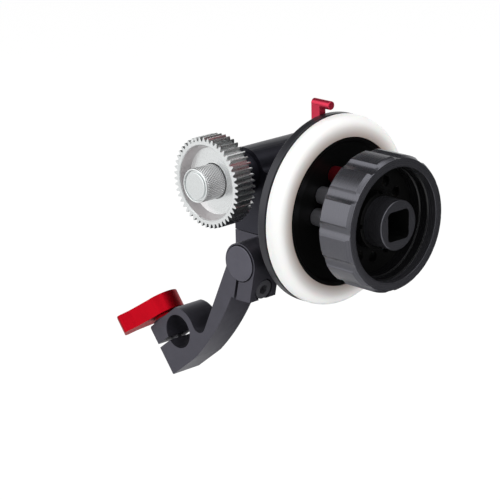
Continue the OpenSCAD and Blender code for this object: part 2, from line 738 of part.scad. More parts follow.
module handwheel() color(c_black) on_wheel(web_back) {
  ro = wheel_d / 2;
  ri = wheel_bore_d / 2;
  difference() {
    rotate_extrude() polygon([
      [sleeve_r + seat, 0], [ro - 0.8, 0], [ro, 0.8], [ro, wheel_len - 2], [ro - 1.2, wheel_len],
      [ri, wheel_len], [ri, wheel_len - 4], [ri - 0.6, wheel_len - 4.3], [ri - 0.6, wheel_len - 8],
      [ri - 1.2, wheel_len - 8.3], [ri - 1.2, web_t], [sleeve_r + seat, web_t]]);
    for (k = [0:flutes - 1])
      at_angle(ro - flute_depth + flute_r, 26 + k * 360 / flutes)
        translate([0, 0, -e]) cylinder(r = flute_r, h = wheel_len + 2 * e);
    for (k = [0:11])
      at_angle(16.5, 1 + 30 * k) translate([0, 0, -e]) cylinder(r = 2.3, h = web_t + 2 * e);
  }
}

module wheel_nut() color(c_black) on_wheel(web_back + web_t + face) difference() {
  rotate_extrude() polygon([[sleeve_r + seat, 0], [nut_d / 2, 0], [nut_d / 2, nut_t - 0.5],
                            [nut_d / 2 - 0.5, nut_t], [sleeve_r + seat, nut_t]]);
  for (a = [0:90:270]) at_angle(nut_d / 2, a) translate([-0.9, -1, nut_t - 2]) cube([3, 2, 3]);
}

module drive_sleeve() color(c_black) on_wheel(web_back) {
  len = sleeve_front - web_back;
  corner = 2;
  difference() {
    rotate_extrude() polygon([[0, 0], [sleeve_r, 0], [sleeve_r, len - 0.6], [sleeve_r - 0.6, len], [0, len]]);
    translate([0, 0, -e]) cylinder(r = shaft_r + seat, h = web_t + 0.1 + e);
    cylinder(r = 2 + seat, h = len);
    translate([0, 0, len - socket_depth]) linear_extrude(height = socket_depth + e) {
      square([socket_w - 2 * corner, socket_w], center = true);
      square([socket_w, socket_w - 2 * corner], center = true);
      for (x = [-1, 1], y = [-1, 1])
        translate([x * (socket_w / 2 - corner), y * (socket_w / 2 - corner)]) circle(r = corner);
    }
  }
}

module sleeve_screw() color(c_steel) on_wheel(socket_floor) socket_screw(4, 8, 3.5, 2.6, 3);

// ---------- index plate ----------

module ring_screw_places(x) on_wheel(x) {
  for (a = [45:90:315]) at_angle(9.3, a) children();
}

module index_plate() color(c_black) {
  difference() {
    on_wheel(plate_x) rotate_extrude() polygon([[neck_r + run, 0], [disc_d / 2 - 0.4, 0], [disc_d / 2, 0.4],
      [disc_d / 2, plate_t - 0.4], [disc_d / 2 - 0.4, plate_t], [neck_r + 4.2, plate_t],
      [neck_r + 4.2, plate_t - 1.9 - face], [neck_r + run, plate_t - 1.9 - face]]);
    translate([plate_x - e, pointer_y, pointer_screw_z]) rotate([0, 90, 0]) cylinder(r = 1.25 + seat, h = plate_t + 2 * e);
    translate([plate_front - 1.8, pointer_y, pointer_screw_z]) rotate([0, 90, 0]) cylinder(r = 2.4, h = 3);
  }
}

module retaining_ring() color(c_steel) difference() {
  on_wheel(neck_x) bush(neck_r + 3.9, 7, ring_t);
  ring_screw_places(neck_x - e) cylinder(r = 1 + seat, h = ring_t + 2 * e);
  ring_screw_places(neck_x + ring_t - 1) cylinder(r = 1.85, h = 2);
}

module ring_screws() color(c_steel) ring_screw_places(neck_x + ring_t) flush_screw(2, ring_t + 4.5, 1.8, 1);

module index_pointer() color(c_red) {
  difference() {
    union() {
      translate([plate_x - pointer_t, pointer_y - pointer_w / 2, pointer_z - pointer_drop])
        cube([pointer_t, pointer_w, pointer_drop]);
      translate([plate_x - pointer_t, pointer_y, pointer_z]) rotate([0, 90, 0]) cylinder(r = pin_r, h = pointer_t + 5.2);
    }
    translate([plate_x - 3.6, pointer_y, pointer_screw_z]) rotate([0, 90, 0]) cylinder(r = 1.25 + seat, h = 5);
  }
}

module pointer_screw() color(c_steel)
  translate([plate_front, pointer_y, pointer_screw_z]) rotate([0, 90, 0]) flush_screw(2.5, plate_t + 3.2, 2.3, 1.8);

// ---------- all pieces ----------

swing_arm();
clamp_screw();
clamp_washer();
clamp_lever();
friction_screw();
pivot_bolt();
pivot_washer();
pivot_bracket();
bracket_screws();
gearbox_housing();
rear_cover();
cover_screws();
drive_shaft_bushes();
lay_shaft_bushes();
wheel_shaft_bushes();
drive_shaft();
drive_spur_gear();
drive_gear();
thumb_screw();
lay_shaft();
lay_spur_gear();
lay_bevel_gear();
wheel_shaft();
wheel_bevel_gear();
hub_flange();
hub_cross_pin();
marking_disc();
disc_screws();
stop_posts();
release_post();
handwheel();
wheel_nut();
drive_sleeve();
sleeve_screw();
index_plate();
retaining_ring();
ring_screws();
index_pointer();
pointer_screw();
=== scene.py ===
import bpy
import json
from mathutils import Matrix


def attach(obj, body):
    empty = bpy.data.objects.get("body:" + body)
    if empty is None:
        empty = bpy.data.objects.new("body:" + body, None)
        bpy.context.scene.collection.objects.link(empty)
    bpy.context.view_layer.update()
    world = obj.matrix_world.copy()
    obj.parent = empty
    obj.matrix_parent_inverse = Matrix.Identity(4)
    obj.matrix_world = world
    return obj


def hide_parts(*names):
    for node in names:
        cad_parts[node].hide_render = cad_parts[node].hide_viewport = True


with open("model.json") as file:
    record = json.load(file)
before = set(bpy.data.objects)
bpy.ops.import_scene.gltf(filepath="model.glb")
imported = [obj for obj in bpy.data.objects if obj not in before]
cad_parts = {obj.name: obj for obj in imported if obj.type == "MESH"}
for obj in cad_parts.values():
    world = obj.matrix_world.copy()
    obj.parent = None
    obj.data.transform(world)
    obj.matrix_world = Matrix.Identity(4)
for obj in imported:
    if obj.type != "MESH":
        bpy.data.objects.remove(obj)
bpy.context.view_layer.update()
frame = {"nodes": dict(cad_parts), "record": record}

import json
import math

import bmesh
import bpy
from bpy.props import FloatProperty, FloatVectorProperty, IntProperty, PointerProperty
from mathutils import Matrix, Vector

bl_info = {
    "name": "Follow focus unit",
    "version": (1, 0, 0),
    "blender": (4, 5, 0),
    "location": "3D View > Sidebar > Follow focus",
    "description": "Builds the look of a rod-mounted follow focus over its CAD frame",
    "category": "Object",
}

# Sizes in millimetres, in the frame of the rod clamp's bore.
MM = 0.001
CLAMP_TILT = 37.7
ROD_R = 7.5
RING_R = 10.8
JAW_LEN, JAW_FLAT, FOOT_DEPTH = 15.9, 9.3, 14.1
CLAMP_SCREW = -11.7
ARM_HALF = 7.5
PIVOT = (40.0, 39.5)
COLLAR_R = 8.7
SPLIT = -102.4
GEAR = (17.5, 69.5)
GEAR_FRONT, GEAR_BACK = -5.0, 5.2
BOX_FRONT, BOX_BACK = 18.0, 48.0
BOX_LEFT, BOX_RIGHT = 10.7, 46.2
BOX_LOW, BOX_TOP = 43.2, 71.5
BARREL_R = 11.0
WHEEL = (28.5, 59.3)
PLATE_X, DISC_X, DISH_X, WEB_X = 55.7, 59.9, 64.2, 78.2
SPUR_GAP = 16.8
LAY_X = GEAR[0] + math.sqrt(SPUR_GAP ** 2 - (GEAR[1] - WHEEL[1]) ** 2)
LUG_SCREW = 10.3
LEVER_ANGLE, LEVER_LOW, LEVER_TOP = 234, 11.5, 19.5
GEAR_MODULE, GEAR_TEETH, GEAR_SLACK = 0.8, 47, 0.1
DISC_R, PLATE_T = 40.5, 3.8
POINTER_Y, POINTER_SCREW_Z, POINTER_TOP = 26.5, 93.2, WHEEL[1] + DISC_R + 4.2
SLEEVE_R, SLEEVE_FRONT = 10.5, 96.2
# Radii of the holes with their clearance, by what sits in them.
THREAD_HOLE, BOLT_HOLE, POINTER_HOLE = 2.52, 3.02, 1.27
SHAFT_HOLE, BUSH_HOLE, SLEEVE_HOLE = 4.02, 6.02, 10.52
# Spacing of the turned rings as drawn, and the noise scale of fine grain in metal.
RING_PITCH, FINE_GRAIN = 0.12, 3000.0
# A radius or length that nothing reaches.
NO_LIMIT = 1e9


def linear(code):
    """An sRGB hex colour as linear RGBA."""
    parts = [int(code[i:i + 2], 16) / 255 for i in (1, 3, 5)]
    return (*(c / 12.92 if c <= 0.04045 else ((c + 0.055) / 1.055) ** 2.4 for c in parts), 1.0)


class FollowFocusSizes(bpy.types.PropertyGroup):
    """Sizes that a user would change"""

    edge_break: FloatProperty(
        name="Edge break", description="Width of the small bevel on machined edges",
        default=0.14 * MM, min=0.05 * MM, max=0.5 * MM, precision=5, unit="LENGTH")
    flute_count: IntProperty(
        name="Flutes", description="Grip flutes around the handwheel", default=12, min=8, max=16)
    flute_depth: FloatProperty(
        name="Flute depth", description="Depth of each grip flute",
        default=1.3 * MM, min=0.8 * MM, max=1.6 * MM, precision=5, unit="LENGTH")
    knurl_pitch: FloatProperty(
        name="Knurl pitch", description="Spacing of the thumb screw's diamond knurl",
        default=1.05 * MM, min=0.8 * MM, max=2.0 * MM, precision=5, unit="LENGTH")
    knurl_depth: FloatProperty(
        name="Knurl depth", description="Depth of the diamond knurl",
        default=0.38 * MM, min=0.1 * MM, max=0.4 * MM, precision=5, unit="LENGTH")


class FollowFocusColours(bpy.types.PropertyGroup):
    """Colours that a user would change"""

    housing: FloatVectorProperty(
        name="Housing", description="Black anodised gearbox",
        subtype="COLOR", size=3, default=linear("#34343d")[:3])
    arm: FloatVectorProperty(
        name="Arm", description="Grey black anodised arm and bracket",
        subtype="COLOR", size=3, default=linear("#52515a")[:3])
    accent: FloatVectorProperty(
        name="Accent", description="Red anodised lever",
        subtype="COLOR", size=3, default=linear("#ae0016")[:3])
    disc: FloatVectorProperty(
        name="Marking disc", description="White moulded disc",
        subtype="COLOR", size=3, default=(0.9, 0.9, 0.89))


# ---------- places ----------

def shifted(x, y, z):
    """A shift in millimetres."""
    return Matrix.Translation((x * MM, y * MM, z * MM))


def turned(angle, axis):
    """A turn in degrees."""
    return Matrix.Rotation(math.radians(angle), 4, axis)


def beside_rod(x, z):
    """Local z along +Y, on the axis through x and z."""
    return shifted(x, 0, z) @ turned(-90, "X")


def on_wheel(y=WHEEL[0], z=WHEEL[1]):
    """Local z along +X, on the handwheel's axis or on one beside it."""
    return shifted(0, y, z) @ turned(90, "Y")


def on_clamp_screw():
    """Local x across the jaws, y along the rod, z along the clamp screw."""
    return turned(-CLAMP_TILT, "Y") @ shifted(CLAMP_SCREW, 0, 0)


# Local x along +X, y along +Z and z along -Y, for outlines that are seen from the gear's side.
UPRIGHT = turned(90, "X")


def wheel_spot(radius, angle):
    """A spot on the handwheel, at an angle from +Y towards +Z."""
    a = math.radians(angle + 90)
    return shifted(radius * math.cos(a), radius * math.sin(a), 0)


# ---------- outlines ----------

def arc(centre, radius, start, end, steps):
    """Points on an arc, in degrees, both ends included."""
    turn = [math.radians(start + (end - start) * i / steps) for i in range(steps + 1)]
    return [(centre[0] + radius * math.cos(a), centre[1] + radius * math.sin(a)) for a in turn]


def ring(radius, steps=96, centre=(0, 0)):
    """A full circle of points."""
    return arc(centre, radius, 0, 360, steps)[:-1]


def clamp_point(across, up):
    """A point of the clamp's own frame, as x and z."""
    c, s = math.cos(math.radians(CLAMP_TILT)), math.sin(math.radians(CLAMP_TILT))
    return (across * c - up * s, across * s + up * c)


def bulge(a, b, sag, steps):
    """An arc from a to b that bulges to its right by sag."""
    a, b = Vector(a), Vector(b)
    chord = (b - a).length
    radius = chord * chord / 8 / sag + sag / 2
    u = (b - a) / chord
    q = Vector((-u.y, u.x))
    centre = (a + b) / 2 + q * (radius - sag)
    half, middle = math.asin(chord / 2 / radius), math.atan2(-q.y, -q.x)
    return [tuple(centre + radius * Vector((math.cos(t), math.sin(t))))
            for t in (middle - half + 2 * half * i / steps for i in range(steps + 1))]


def tooth_ring(module, teeth, slack):
    """Outline of an involute gear with a pressure angle of 20 degrees."""
    pitch = module * teeth / 2
    base, tip = pitch * math.cos(math.radians(20)), pitch + module
    root = pitch - 1.25 * module
    start = max(base + 0.01, root)

    def involute(r):
        """How far the flank has turned at radius r, in degrees."""
        return math.degrees(math.tan(math.acos(base / r)) - math.acos(base / r))

    lead = 90 / teeth - math.degrees(slack / 2 / pitch) + involute(pitch)
    flank = [(root, lead - involute(start))] + [
        (r, lead - involute(r)) for r in (start + (tip - start) * j / 5 for j in range(6))]
    points = []
    for t in range(teeth):
        for side, run in ((-1, flank), (1, flank[::-1])):
            for r, a in run:
                turn = math.radians(t * 360 / teeth + side * a)
                points.append((r * math.cos(turn), r * math.sin(turn)))
    return points


def arm_outline():
    """The swing arm from its side, as one loop with both splits and the rod's bore."""
    pivot = Vector(PIVOT)
    down = Vector((math.cos(math.radians(SPLIT)), math.sin(math.radians(SPLIT))))
    side = Vector((-down.y, down.x))
    # half the width of the lug's slit and of the clamp's, then the sizes that shape the edges
    slit, gap = 0.7, 0.8
    lug_end, slit_top, inset, fillet = 16.6, 5.5, 6.4, 4.0
    heel, foot_bend, sag, toe, nose = 2.1, 2.6, 1.7, 0.4, 0.6
    lug_low = pivot + down * lug_end
    lug_corner = lug_low + side * COLLAR_R - down * COLLAR_R * math.tan(math.radians(-90 - SPLIT))
    left = Vector((-9.5, -20.5)).normalized()
    out = Vector((left.y, -left.x))
    # where the arm's left edge leaves the collar
    leave = pivot + out * inset + left * math.sqrt(COLLAR_R ** 2 - inset ** 2)
    base = pivot + out * (inset + fillet)
    along = base.dot(left)
    centre = base + left * (-along - math.sqrt(along ** 2 - base.dot(base) + (RING_R + fillet) ** 2))
    from_arm = math.degrees(math.atan2(-out.y, -out.x))
    from_ring = math.degrees(math.atan2(-centre.y, -centre.x))
    if from_ring > from_arm:
        from_ring -= 360
    ring_start = math.degrees(math.atan2(centre.y, centre.x))
    ring_end = CLAMP_TILT + math.degrees(math.asin(JAW_FLAT / RING_R))
    bore_end = math.degrees(math.asin(gap / ROD_R))
    points = [clamp_point(-JAW_LEN, -gap), clamp_point(-JAW_LEN, -FOOT_DEPTH + toe),
              clamp_point(-JAW_LEN + toe, -FOOT_DEPTH)]
    points += bulge(clamp_point(foot_bend, -FOOT_DEPTH), lug_low - side * heel, sag, 40)
    points += [tuple(lug_low - side * slit), tuple(pivot + down * slit_top - side * slit),
               tuple(pivot + down * slit_top + side * slit), tuple(lug_low + side * slit), tuple(lug_corner)]
    face = math.degrees(math.atan2(side.y, side.x))
    points += arc(pivot, COLLAR_R, face, math.degrees(math.atan2(*(leave - pivot).yx)) + 360, 60)
    points += arc(centre, fillet, from_arm, from_ring, 20)
    points += arc((0, 0), RING_R, ring_start, ring_end, 24)[1:]
    points += [clamp_point(-JAW_LEN + nose, JAW_FLAT), clamp_point(-JAW_LEN, JAW_FLAT - nose),
               clamp_point(-JAW_LEN, gap)]
    points += [clamp_point(ROD_R * math.cos(a), ROD_R * math.sin(a)) for a in (
        math.radians(180 - bore_end - (360 - 2 * bore_end) * i / 72) for i in range(73))]
    return points


def box_outline():
    """The gearbox from its gear side: block, barrel and the fillet between them."""
    fillet = 4
    reach, rise = BARREL_R + fillet, BOX_TOP + fillet - GEAR[1]
    run = math.sqrt(reach * reach - rise * rise)
    meet = math.degrees(math.atan2(rise, run))
    # the barrel is left at the block's own left side
    low = -math.degrees(math.acos((BOX_LEFT - GEAR[0]) / BARREL_R))
    points = [(BOX_LEFT, BOX_LOW), (BOX_RIGHT, BOX_LOW)]
    points += arc((BOX_RIGHT - fillet, BOX_TOP - fillet), fillet, 0, 90, 12)
    points += arc((GEAR[0] + run, BOX_TOP + fillet), fillet, 270, 180 + meet, 14)
    points += arc(GEAR, BARREL_R, meet, 360 + low, 90)
    return points


def lever_outline():
    """The clamp lever from above, around its screw, before it is turned."""
    hub, tip, half, corner = 9.2, 19.8, 4.25, 1.8
    # the wing starts inside the hub's circle, and narrows over its first part
    start, blend, narrow, run, ease = 3.0, 5, 2, 12, 0.8
    upper = []
    for i in range(25):
        x = start + (tip - corner - start) * i / 24
        width = hub + (half - hub) * min(max((x - narrow) / run, 0), 1) ** ease
        upper.append((x, min(width, math.sqrt(hub * hub - x * x)) if x < blend else width))
    lean = math.degrees(math.atan2(upper[0][1], upper[0][0]))
    points = arc((0, 0), hub, lean, 360 - lean, 60)
    points += [(x, -y) for x, y in upper[1:]]
    points += arc((tip - corner, corner - half), corner, -90, 0, 6)
    points += arc((tip - corner, half - corner), corner, 0, 90, 6)
    points += upper[:0:-1]
    return points


# ---------- mesh ----------

def rounded(profile, steps=4):
    """A profile of (radius, height, edge radius) with its corners rounded."""
    points, last = [], len(profile) - 1
    for i, (r, h, edge) in enumerate(profile):
        here = Vector((r, h))
        if edge <= 0 or i in (0, last):
            points.append(here)
            continue
        before, after = Vector(profile[i - 1][:2]), Vector(profile[i + 1][:2])
        reach = min(edge, 0.48 * (before - here).length, 0.48 * (after - here).length)
        a, b = here + (before - here).normalized() * reach, here + (after - here).normalized() * reach
        for k in range(steps + 1):
            t = k / steps
            points.append(a * (1 - t) ** 2 + here * 2 * t * (1 - t) + b * t * t)
    return points


def shell(profile, place, turns=144, limit=None):
    """A turned solid as bmesh. limit(angle) gives the largest radius at that angle."""
    bm = bmesh.new()
    points = rounded(profile)
    rows = []
    for i in range(turns):
        a = 2 * math.pi * i / turns
        c, s = math.cos(a), math.sin(a)
        most = limit(a) if limit else NO_LIMIT
        rows.append([bm.verts.new((min(p.x, most) * c * MM, min(p.x, most) * s * MM, p.y * MM))
                     for p in points])
    closed = profile[0][0] > 0
    for i in range(turns):
        a, b = rows[i], rows[(i + 1) % turns]
        for k in range(len(points) if closed else len(points) - 1):
            m = (k + 1) % len(points)
            bm.faces.new((a[k], b[k], b[m], a[m]))
    bmesh.ops.remove_doubles(bm, verts=bm.verts, dist=1e-7)
    bmesh.ops.dissolve_degenerate(bm, edges=bm.edges, dist=1e-8)
    bmesh.ops.recalc_face_normals(bm, faces=bm.faces)
    bm.transform(place)
    return bm


def drill(place, turns, start, *steps):
    """The solid of a stepped hole from start on: each step is a radius and how far up it goes."""
    profile = [(0, start, 0)]
    for radius, end in steps:
        profile += [(radius, start, 0), (radius, end, 0)]
        start = end
    return shell([*profile, (0, start, 0)], place, turns)


def slab(loops, place, low, high):
    """Flat loops raised from low to high along local z, as bmesh."""
    bm = bmesh.new()
    for loop in loops:
        clean = [p for i, p in enumerate(loop) if (Vector(p) - Vector(loop[i - 1])).length > 1e-4]
        verts = [bm.verts.new((x * MM, y * MM, low * MM)) for x, y in clean]
        for i, v in enumerate(verts):
            bm.edges.new((verts[i - 1], v))
    bmesh.ops.triangle_fill(bm, use_beauty=True, use_dissolve=False, edges=bm.edges[:])
    raised = bmesh.ops.extrude_face_region(bm, geom=bm.faces[:] + bm.edges[:] + bm.verts[:])["geom"]
    bmesh.ops.translate(bm, verts=[v for v in raised if isinstance(v, bmesh.types.BMVert)],
                        vec=(0, 0, (high - low) * MM))
    bmesh.ops.recalc_face_normals(bm, faces=bm.faces)
    bm.transform(place)
    return bm


def make(name, bm):
    """A new object from a bmesh."""
    mesh = bpy.data.meshes.new(name)
    bm.to_mesh(mesh)
    bm.free()
    piece = bpy.data.objects.new(name, mesh)
    bpy.context.scene.collection.objects.link(piece)
    return piece


def settle(piece):
    """Applies the piece's modifiers to its mesh."""
    mesh = bpy.data.meshes.new_from_object(piece.evaluated_get(bpy.context.evaluated_depsgraph_get()))
    piece.modifiers.clear()
    piece.data = mesh


def cut(piece, *cutters):
    """Takes each cutter's solid out of the piece."""
    tools = [make("cutter", bm) for bm in cutters]
    for tool in tools:
        step = piece.modifiers.new("cut", "BOOLEAN")
        step.object, step.operation, step.solver = tool, "DIFFERENCE", "EXACT"
    settle(piece)
    for tool in tools:
        bpy.data.objects.remove(tool)


def bevel(piece, width, segments, angle):
    """Adds the modifier that breaks a piece's machined edges."""
    edge = piece.modifiers.new("edge break", "BEVEL")
    edge.width, edge.segments, edge.limit_method = width, segments, "ANGLE"
    edge.angle_limit = math.radians(angle)


def soften(piece, width, segments=2, angle=32):
    """Breaks the machined edges in the piece's own mesh."""
    bevel(piece, width, segments, angle)
    settle(piece)


def dress(piece, body, material, nodes, sharp=30):
    """Gives a piece its body, material and shading, and hides the solids that it stands for."""
    for face in piece.data.polygons:
        face.use_smooth = True
    piece.data.set_sharp_from_angle(angle=math.radians(sharp))
    # the bevels lean towards the flat faces, so that these stay flat in the light
    fair = piece.modifiers.new("fair faces", "WEIGHTED_NORMAL")
    fair.weight, fair.keep_sharp = 80, True
    settle(piece)
    piece.data.materials.clear()
    piece.data.materials.append(material)
    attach(piece, body)
    if nodes:
        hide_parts(*nodes)


# ---------- materials ----------

def add(tree, kind, inputs=None, **settings):
    """One node with its settings, values and links."""
    node = tree.nodes.new(kind)
    for key, value in settings.items():
        setattr(node, key, value)
    for key, value in (inputs or {}).items():
        if isinstance(value, bpy.types.NodeSocket):
            tree.links.new(value, node.inputs[key])
        else:
            node.inputs[key].default_value = value
    return node


def start_material(name):
    """A material with an empty node tree."""
    material = bpy.data.materials.get(name) or bpy.data.materials.new(name)
    material.use_nodes = True
    material.node_tree.nodes.clear()
    return material, material.node_tree


def end_material(tree, values):
    """The shader with its values and links, on the material's surface."""
    shader = add(tree, "ShaderNodeBsdfPrincipled", values)
    add(tree, "ShaderNodeOutputMaterial", {"Surface": shader.outputs["BSDF"]})


def from_axis(tree, place, centre, axis):
    """Where a point is from the centre, and how far it is from the axis through it."""
    moved = add(tree, "ShaderNodeVectorMath", {0: place, 1: tuple(c * MM for c in centre)},
                operation="SUBTRACT").outputs[0]
    flat = add(tree, "ShaderNodeVectorMath", {0: moved, 1: (0, 1, 1) if axis == "X" else (1, 0, 1)},
               operation="MULTIPLY").outputs[0]
    return moved, add(tree, "ShaderNodeVectorMath", {0: flat}, operation="LENGTH").outputs["Value"]


def blasted_anodised(name, colour, rough, metallic, shine=0.5):
    """Aluminium 6061, bead blasted and dyed anodised: an even satin with a fine grain and no lines."""
    material, tree = start_material(name)
    place = add(tree, "ShaderNodeTexCoord").outputs["Object"]
    # bead pits are about 0.08 mm wide; drawn at 0.2 mm so that they show
    grit = add(tree, "ShaderNodeTexNoise", {"Vector": place, "Scale": 5000.0, "Detail": 2.0}).outputs["Fac"]
    # the dye takes a little unevenly over about 6 mm, down to three quarters of its colour
    cloud = add(tree, "ShaderNodeTexNoise", {"Vector": place, "Scale": 160.0, "Detail": 3.0}).outputs["Fac"]
    bump = add(tree, "ShaderNodeBump", {"Height": grit, "Strength": 0.12, "Distance": 0.03 * MM})
    full, weak = (*colour[:3], 1.0), (*(c * 0.75 for c in colour[:3]), 1.0)
    tone = add(tree, "ShaderNodeMix", {"Factor": cloud, "A": weak, "B": full}, data_type="RGBA")
    satin = add(tree, "ShaderNodeMapRange", {"Value": grit, "To Min": rough - 0.04, "To Max": rough + 0.05})
    end_material(tree, {"Base Color": tone.outputs["Result"], "Metallic": metallic,
                        "Roughness": satin.outputs["Result"], "Specular IOR Level": shine,
                        "Normal": bump.outputs["Normal"]})
    return material


def turned_metal(name, dark, light, rough, metallic, axis, centre, shine=0.5):
    """Metal turned on a lathe: fine rings around its axis that draw the light into a soft sheen."""
    material, tree = start_material(name)
    place = add(tree, "ShaderNodeTexCoord").outputs["Object"]
    moved, radius = from_axis(tree, place, centre, axis)
    along = add(tree, "ShaderNodeSeparateXYZ", {"Vector": moved}).outputs[axis]
    depth = add(tree, "ShaderNodeMath", {0: radius, 1: along}, operation="ADD").outputs[0]
    # tool feed is about 0.05 mm a turn; drawn at RING_PITCH so that it shows
    rings = add(tree, "ShaderNodeTexNoise", {"W": depth, "Scale": 1 / (RING_PITCH * MM), "Detail": 2.0},
                noise_dimensions="1D").outputs["Fac"]
    grain = add(tree, "ShaderNodeTexNoise", {"Vector": place, "Scale": FINE_GRAIN, "Detail": 2.0}).outputs["Fac"]
    height = add(tree, "ShaderNodeMath", {0: rings, 1: grain}, operation="ADD").outputs[0]
    bump = add(tree, "ShaderNodeBump", {"Height": height, "Strength": 0.1, "Distance": 0.02 * MM})
    tone = add(tree, "ShaderNodeMix", {"Factor": rings, "A": linear(dark), "B": linear(light)}, data_type="RGBA")
    sheen = add(tree, "ShaderNodeMapRange", {"Value": rings, "To Min": rough - 0.05, "To Max": rough + 0.06})
    end_material(tree, {"Base Color": tone.outputs["Result"], "Metallic": metallic,
                        "Roughness": sheen.outputs["Result"], "Specular IOR Level": shine,
                        "Normal": bump.outputs["Normal"]})
    return material


def knurled_metal(name, peak, groove_shade, rough):
    """Clear anodised aluminium with a cut knurl: bright diamonds with dull grooves between them, and the grooves
    painted darker as shade.
    """
    material, tree = start_material(name)
    groove = add(tree, "ShaderNodeAttribute", attribute_name="groove").outputs["Fac"]
    place = add(tree, "ShaderNodeTexCoord").outputs["Object"]
    grain = add(tree, "ShaderNodeTexNoise", {"Vector": place, "Scale": FINE_GRAIN, "Detail": 2.0}).outputs["Fac"]
    bump = add(tree, "ShaderNodeBump", {"Height": grain, "Strength": 0.08, "Distance": 0.02 * MM})
    # painted shade: the grooves' colour darkens with their depth
    tone = add(tree, "ShaderNodeMix", {"Factor": groove, "A": linear(peak), "B": linear(groove_shade)}, data_type="RGBA")
    dull = add(tree, "ShaderNodeMapRange", {"Value": groove, "To Min": rough, "To Max": rough + 0.2})
    end_material(tree, {"Base Color": tone.outputs["Result"], "Metallic": 1.0,
                        "Roughness": dull.outputs["Result"], "Normal": bump.outputs["Normal"]})
    return material


def moulded_white(name, colour):
    """White acetal, moulded and lightly polished: milky, smooth and semi-gloss, made for pencil marks."""
    material, tree = start_material(name)
    place = add(tree, "ShaderNodeTexCoord").outputs["Object"]
    # tool polish leaves waves of about 2 mm, and a 0.3 mm orange peel
    wave = add(tree, "ShaderNodeTexNoise", {"Vector": place, "Scale": 450.0, "Detail": 2.0}).outputs["Fac"]
    peel = add(tree, "ShaderNodeTexNoise", {"Vector": place, "Scale": 3300.0, "Detail": 1.0}).outputs["Fac"]
    bump = add(tree, "ShaderNodeBump", {"Height": peel, "Strength": 0.05, "Distance": 0.02 * MM})
    high, low = (*colour, 1.0), (*(c * 0.985 for c in colour), 1.0)
    # painted shade: the colour darkens from the hole out to about 39 mm, standing in for the shade and reflection
    # of the dark handwheel there
    _, radius = from_axis(tree, place, (0, *WHEEL), "X")
    painted_shade = add(tree, "ShaderNodeMapRange", {"Value": radius, "From Min": 30.6 * MM, "From Max": 38.8 * MM},
               interpolation_type="SMOOTHSTEP").outputs["Result"]
    milk = add(tree, "ShaderNodeMix", {"Factor": wave, "A": low, "B": high}, data_type="RGBA").outputs["Result"]
    # the grey-brown is the painted shade near the hole
    tone = add(tree, "ShaderNodeMix", {"Factor": painted_shade, "A": linear("#a3968f"), "B": milk}, data_type="RGBA")
    gloss = add(tree, "ShaderNodeMapRange", {"Value": peel, "To Min": 0.26, "To Max": 0.34})
    end_material(tree, {"Base Color": tone.outputs["Result"], "Roughness": gloss.outputs["Result"],
                        "IOR": 1.48, "Subsurface Weight": 0.15, "Subsurface Scale": 1.5 * MM,
                        "Normal": bump.outputs["Normal"]})
    return material


def finishes():
    """All the finishes of the unit, by plain name."""
    wheel, gear = (0, *WHEEL), (GEAR[0], 0, GEAR[1])
    colours = bpy.context.scene.follow_focus_colours
    return {
        "housing": blasted_anodised("black_anodised_housing", colours.housing, 0.38, 0.75, 0.45),
        "arm": blasted_anodised("black_anodised_arm", colours.arm, 0.4, 0.8, 0.55),
        "red": blasted_anodised("red_anodised_lever", colours.accent, 0.44, 0.92),
        # lighter copy of the red anodise: painted light on the pointer at the top
        "lit red": blasted_anodised("red_anodised_pointer_painted_light", linear("#d0304c"), 0.34, 0.75),
        "bolt": blasted_anodised("black_anodised_bolt", linear("#605f69"), 0.36, 0.8, 0.55),
        # near-black copy of the bracket's anodise: painted shade on the knuckle
        "shaded knuckle": blasted_anodised("black_anodised_knuckle_painted_shade", linear("#131315"), 0.38, 0.2, 0.25),
        # darker copy of the red anodise: painted shade on the release post behind the handwheel
        "shaded red": blasted_anodised("red_anodised_post_painted_shade", linear("#6b0918"), 0.36, 0.7),
        "wheel": turned_metal("black_anodised_handwheel", "#48484e", "#626268", 0.27, 0.78, "X", wheel, 0.75),
        # a darker copy of the handwheel's black anodise, painted shade for the grip's inside
        "bore": turned_metal("black_anodised_bore_painted_shade", "#101012", "#1b1b1d", 0.25, 0.3, "X", wheel),
        # near-black copy of the black anodise: painted shade for the dish, web, nut and sleeve bore, behind and
        # inside the handwheel
        "dish": turned_metal("black_anodised_dish_painted_shade", "#070707", "#0c0c0c", 0.36, 0.0, "X", wheel, 0.12),
        "plate": turned_metal("grey_anodised_plate", "#25252a", "#2e2e34", 0.36, 0.4, "X", wheel),
        "gear": turned_metal("clear_anodised_gear", "#e0e3e3", "#eceeee", 0.27, 1.0, "Y", gear),
        # darker copy of the gear's clear anodise: duller as cut, and painted darker as shade in the recess
        "recess": turned_metal("clear_anodised_recess", "#c2bebf", "#cecacb", 0.4, 1.0, "Y", gear),
        "thumb": turned_metal("clear_anodised_thumb_screw", "#dadddd", "#e6e9e9", 0.28, 1.0, "Y", gear),
        # the second colour is the painted shade in the knurl's grooves
        "knurl": knurled_metal("clear_anodised_knurl", "#e6e7e7", "#98989b", 0.28),
        # grey copy of the silver anodise: painted shade on the stop posts behind the handwheel
        "post": turned_metal("clear_anodised_posts_painted_shade", "#8e8e94", "#9e9ea4", 0.3, 0.8, "X", wheel),
        "steel": turned_metal("turned_steel", "#8d8f92", "#a2a4a7", 0.32, 1.0, "Y", (LAY_X, 0, WHEEL[1])),
        "black_steel": blasted_anodised("blackened_steel", linear("#5c5c61"), 0.3, 0.45),
        "bronze": blasted_anodised("sintered_bronze", linear("#a07c48"), 0.45, 0.9),
        "white": moulded_white("moulded_acetal_disc", colours.disc),
    }


MADE = {}


def finish(name):
    """A finish by plain name; they are made once."""
    if not MADE:
        MADE.update(finishes())
    return MADE[name]


# ---------- pieces ----------

